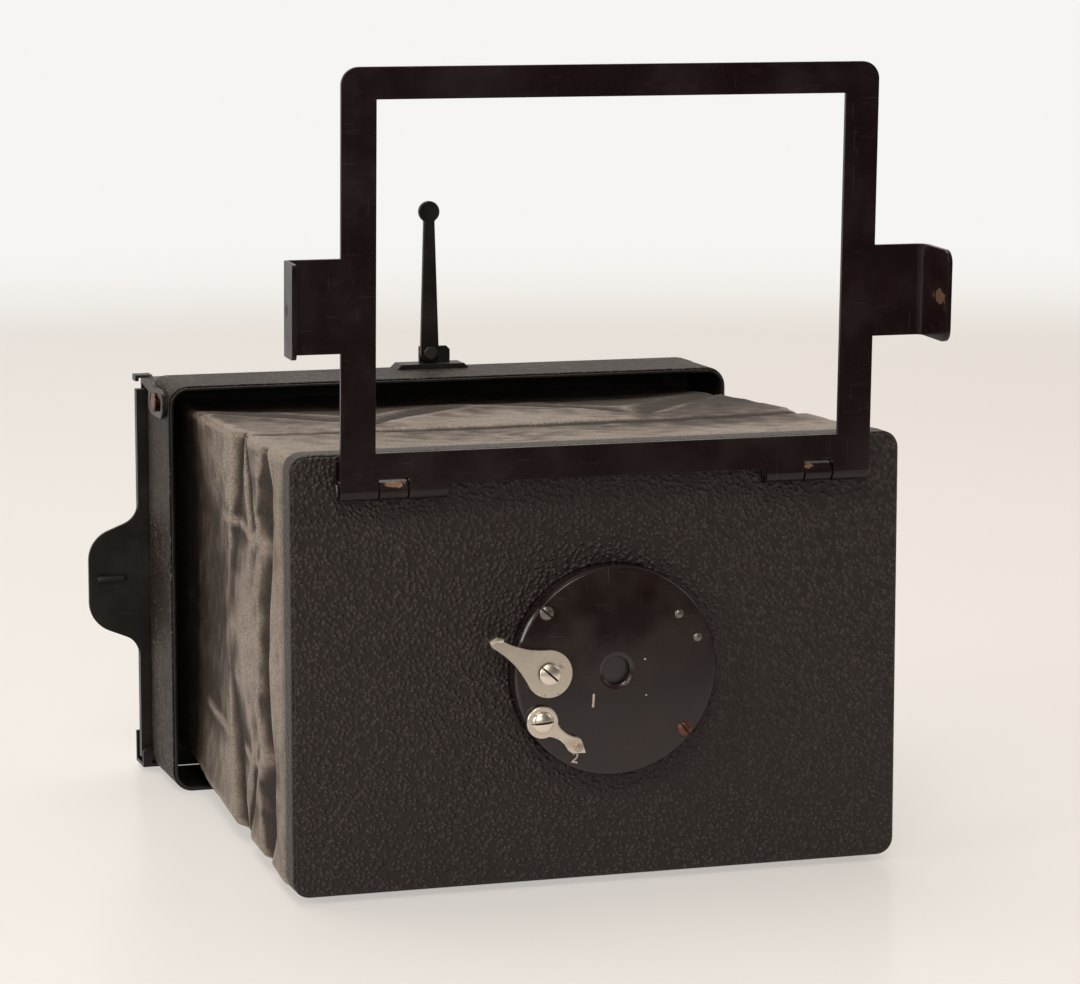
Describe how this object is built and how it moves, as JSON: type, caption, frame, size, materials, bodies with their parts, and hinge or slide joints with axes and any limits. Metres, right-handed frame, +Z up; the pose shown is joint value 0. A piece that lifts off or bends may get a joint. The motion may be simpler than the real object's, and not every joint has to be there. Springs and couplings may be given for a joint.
{
  "type": "plate camera",
  "caption": "Small folding plate camera: leather back, bellows, front board with disc shutter, hinged sheet finder frame, folding rear sight and plate holder with dark slide.",
  "frame": {"origin": "under the middle of the back, on the surface that it stands on; mid-way through the back's depth", "axes": "+X to the right seen from the front, +Y to the back, +Z up"},
  "size_m": [0.091, 0.0983, 0.1034],
  "materials": {
    "black_enamel": "satin black stove enamel, worn to metal on a few edges",
    "frame_enamel": "gloss black enamel with a slight warm tint",
    "board_leather": "fine pebbled black leather",
    "side_leather": "fine pebbled black leather, rubbed grey",
    "bellows_leather": "thin matt leather, brown where it is rubbed",
    "gloss_black": "glossy black enamel",
    "nickel": "warm worn nickel plate",
    "brass": "dull reddish brass",
    "spring_steel": "plain spring steel",
    "dark_steel": "blackened steel",
    "optical_glass": "polished optical glass",
    "plate_glass": "photographic glass plate"
  },
  "bodies": {
    "body": {"body_shell": "black_enamel", "body_leather": "side_leather", "back_frame": "black_enamel", "rear_strut_ears": "dark_steel", "catch_rivet": "brass", "sight_base": "black_enamel", "sight_pivot": "dark_steel", "bellows": "bellows_leather"},
    "front": {"front_board": "black_enamel", "front_leather": "board_leather", "front_strut_ears": "dark_steel", "hinge_leaves": "frame_enamel", "hinge_pins": "dark_steel", "shutter_housing": "gloss_black", "shutter_cover": "gloss_black", "cover_screw_upper": "dark_steel", "cover_screw_lower": "brass", "cover_rivets": "dark_steel", "lens_mount": "dark_steel", "lens": "optical_glass", "blade_post": "spring_steel", "release_screw": "nickel", "selector_screw": "nickel"},
    "finder": {"finder_frame": "frame_enamel"},
    "sight": {"rear_sight": "black_enamel"},
    "release": {"release_lever": "nickel"},
    "selector": {"selector_lever": "nickel", "selector_pin": "nickel"},
    "blade": {"shutter_blade": "dark_steel"},
    "holder": {"plate_holder": "black_enamel", "pressure_spring": "spring_steel", "glass_plate": "plate_glass"},
    "slide": {"dark_slide": "black_enamel", "tab_lug": "black_enamel"},
    "catch": {"holder_catch": "black_enamel"},
    "rear_upper": {"rear_upper_strut": "dark_steel", "knee_rivets_upper": "spring_steel"},
    "rear_lower": {"rear_lower_strut": "dark_steel", "knee_rivets_lower": "spring_steel"},
    "front_upper": {"front_upper_strut": "dark_steel"},
    "front_lower": {"front_lower_strut": "dark_steel"}
  },
  "joints": [
    {"name": "front_slide", "type": "slide", "parent": "body", "child": "front", "axis": [0, 1, 0], "range_m": [0, 0.0667], "deforming": ["bellows"]},
    {"name": "rear_upper_fold", "type": "hinge", "parent": "body", "child": "rear_upper", "pos_m": [0, 0.0046, 0.05065], "axis": [1, 0, 0], "range_deg": [0, 51.73]},
    {"name": "rear_lower_fold", "type": "hinge", "parent": "body", "child": "rear_lower", "pos_m": [0, 0.0046, 0.00645], "axis": [-1, 0, 0], "range_deg": [0, 51.73]},
    {"name": "front_upper_fold", "type": "hinge", "parent": "front", "child": "front_upper", "pos_m": [0, -0.06805, 0.05065], "axis": [-1, 0, 0], "range_deg": [0, 51.73]},
    {"name": "front_lower_fold", "type": "hinge", "parent": "front", "child": "front_lower", "pos_m": [0, -0.06805, 0.00645], "axis": [1, 0, 0], "range_deg": [0, 51.73]},
    {"name": "finder_fold", "type": "hinge", "parent": "front", "child": "finder", "pos_m": [0, -0.0757, 0.05195], "axis": [1, 0, 0], "range_deg": [0, 177.9]},
    {"name": "sight_fold", "type": "hinge", "parent": "body", "child": "sight", "pos_m": [0, 0.0052, 0.05925], "axis": [0, -1, 0], "range_deg": [0, 90]},
    {"name": "release_press", "type": "hinge", "parent": "front", "child": "release", "pos_m": [-0.00803, -0.07705, 0.0281], "axis": [0, -1, 0], "range_deg": [0, 25], "stiffness_Nm_per_rad": 0.004, "springref_deg": -11.46},
    {"name": "blade_swing", "type": "hinge", "parent": "front", "child": "blade", "pos_m": [0.00107, -0.07545, 0.01935], "axis": [0, -1, 0], "range_deg": [0, 50]},
    {"name": "selector_turn", "type": "hinge", "parent": "front", "child": "selector", "pos_m": [-0.00888, -0.07705, 0.022], "axis": [0, -1, 0], "range_deg": [0, 57]},
    {"name": "holder_slide", "type": "slide", "parent": "body", "child": "holder", "axis": [-1, 0, 0], "range_m": [0, 0.083]},
    {"name": "dark_slide_pull", "type": "slide", "parent": "holder", "child": "slide", "axis": [-1, 0, 0], "range_m": [0, 0.067]},
    {"name": "catch_lift", "type": "hinge", "parent": "body", "child": "catch", "pos_m": [-0.04135, -0.0017, 0.0544], "axis": [1, 0, 0], "range_deg": [0, 12], "stiffness_Nm_per_rad": 0.004, "springref_deg": -11.46}
  ],
  "couplings": [
    {"joint": "rear_upper_fold", "follows": "front_slide", "rad_per_m": 13.535},
    {"joint": "rear_lower_fold", "follows": "front_slide", "rad_per_m": 13.535},
    {"joint": "front_upper_fold", "follows": "front_slide", "rad_per_m": 13.535},
    {"joint": "front_lower_fold", "follows": "front_slide", "rad_per_m": 13.535},
    {"joint": "blade_swing", "follows": "release_press", "ratio": 2}
  ]
}
